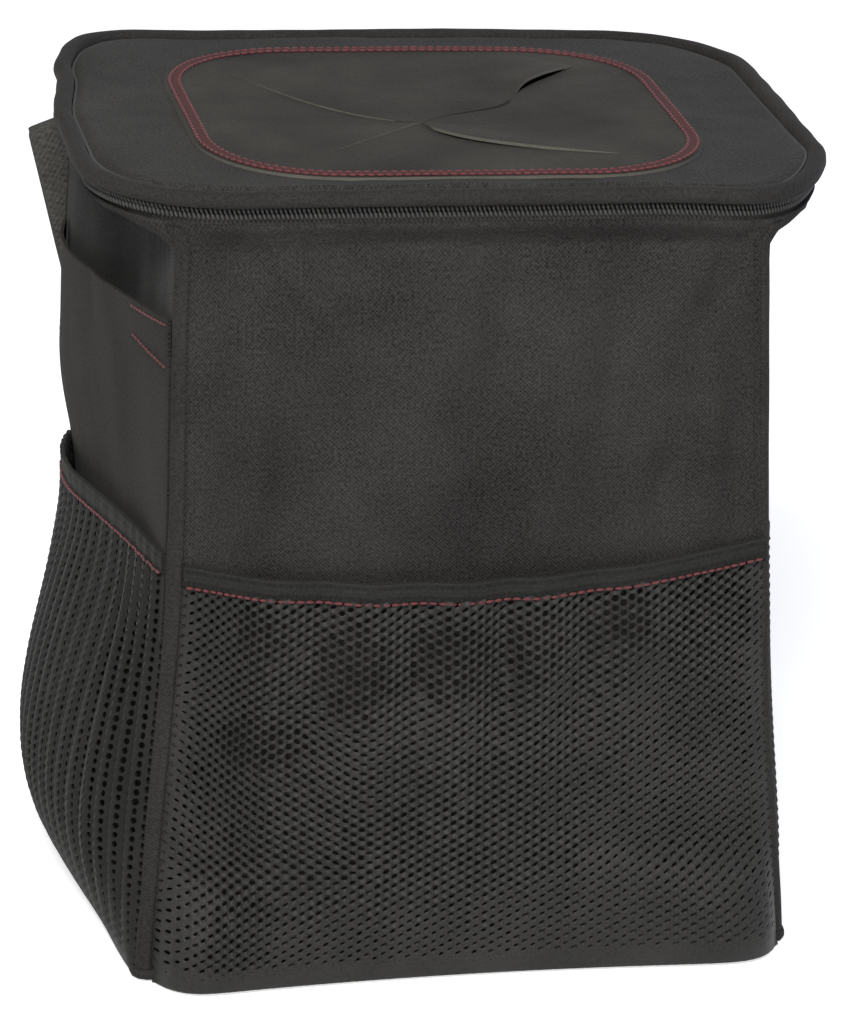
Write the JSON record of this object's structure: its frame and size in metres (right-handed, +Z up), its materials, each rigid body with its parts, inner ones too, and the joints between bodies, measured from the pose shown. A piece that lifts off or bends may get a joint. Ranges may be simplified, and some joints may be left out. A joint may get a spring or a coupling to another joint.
{
  "type": "car trash bin",
  "caption": "Soft zip-lidded car litter bin with a slit push-through lid, mesh and slip pockets and a hanging strap.",
  "frame": {"origin": "centre of the base on the floor", "axes": "+Z up, +X to the right as seen from the front, -Y towards the front pocket"},
  "size_m": [0.2519, 0.2176, 0.2628],
  "materials": {
    "body_fabric": "woven charcoal cloth",
    "stiff_board": "plain sheet",
    "liner_film": "soft waterproof film",
    "seam_binding": "folded tape",
    "mesh": "knitted net",
    "elastic": "ribbed elastic",
    "zip_tape": "twill tape",
    "zip_coil": "nylon coil",
    "webbing": "flat webbing",
    "slide_plastic": "moulded",
    "membrane": "smooth soft sheet",
    "maroon_trim": "narrow band",
    "zip_metal": "black enamel"
  },
  "bodies": {
    "bin": {"front_panel": "body_fabric", "back_panel": "body_fabric", "left_panel": "body_fabric", "right_panel": "body_fabric", "base_panel": "body_fabric", "front_board": "stiff_board", "back_board": "stiff_board", "left_board": "stiff_board", "right_board": "stiff_board", "base_board": "stiff_board", "liner": "liner_film", "rim_binding": "seam_binding", "front_left_piping": "seam_binding", "front_right_piping": "seam_binding", "back_left_piping": "seam_binding", "back_right_piping": "seam_binding", "foot_piping": "seam_binding", "front_mesh_pocket": "mesh", "front_pocket_hem": "elastic", "left_mesh_pocket": "mesh", "left_mesh_hem": "elastic", "right_mesh_pocket": "mesh", "right_mesh_hem": "elastic", "left_slip_pocket": "body_fabric", "right_slip_pocket": "body_fabric", "zip_tape_lower": "zip_tape", "zip_coil_lower": "zip_coil", "hinge_strip": "body_fabric", "strap": "webbing", "strap_slide": "slide_plastic"},
    "lid": {"lid_top_panel": "body_fabric", "lid_board": "stiff_board", "lid_lining": "liner_film", "lid_edge_roll": "body_fabric", "lid_membrane": "membrane", "membrane_trim": "maroon_trim", "zip_tape_upper": "zip_tape", "zip_coil_upper": "zip_coil"},
    "slider": {"zip_slider": "zip_metal"},
    "pull": {"zip_pull": "zip_metal"}
  },
  "joints": [
    {"name": "lid_hinge", "type": "hinge", "parent": "bin", "child": "lid", "pos_m": [0, 0.0924, 0.256], "axis": [-1, 0, 0], "range_deg": [0, 180]},
    {"name": "zip_slide", "type": "slide", "parent": "bin", "child": "slider", "axis": [0, -1, 0], "range_m": [0, 0.066]},
    {"name": "pull_swing", "type": "hinge", "parent": "slider", "child": "pull", "pos_m": [0.11955, 0.03, 0.253], "axis": [0, 0, 1], "range_deg": [0, 170]}
  ]
}
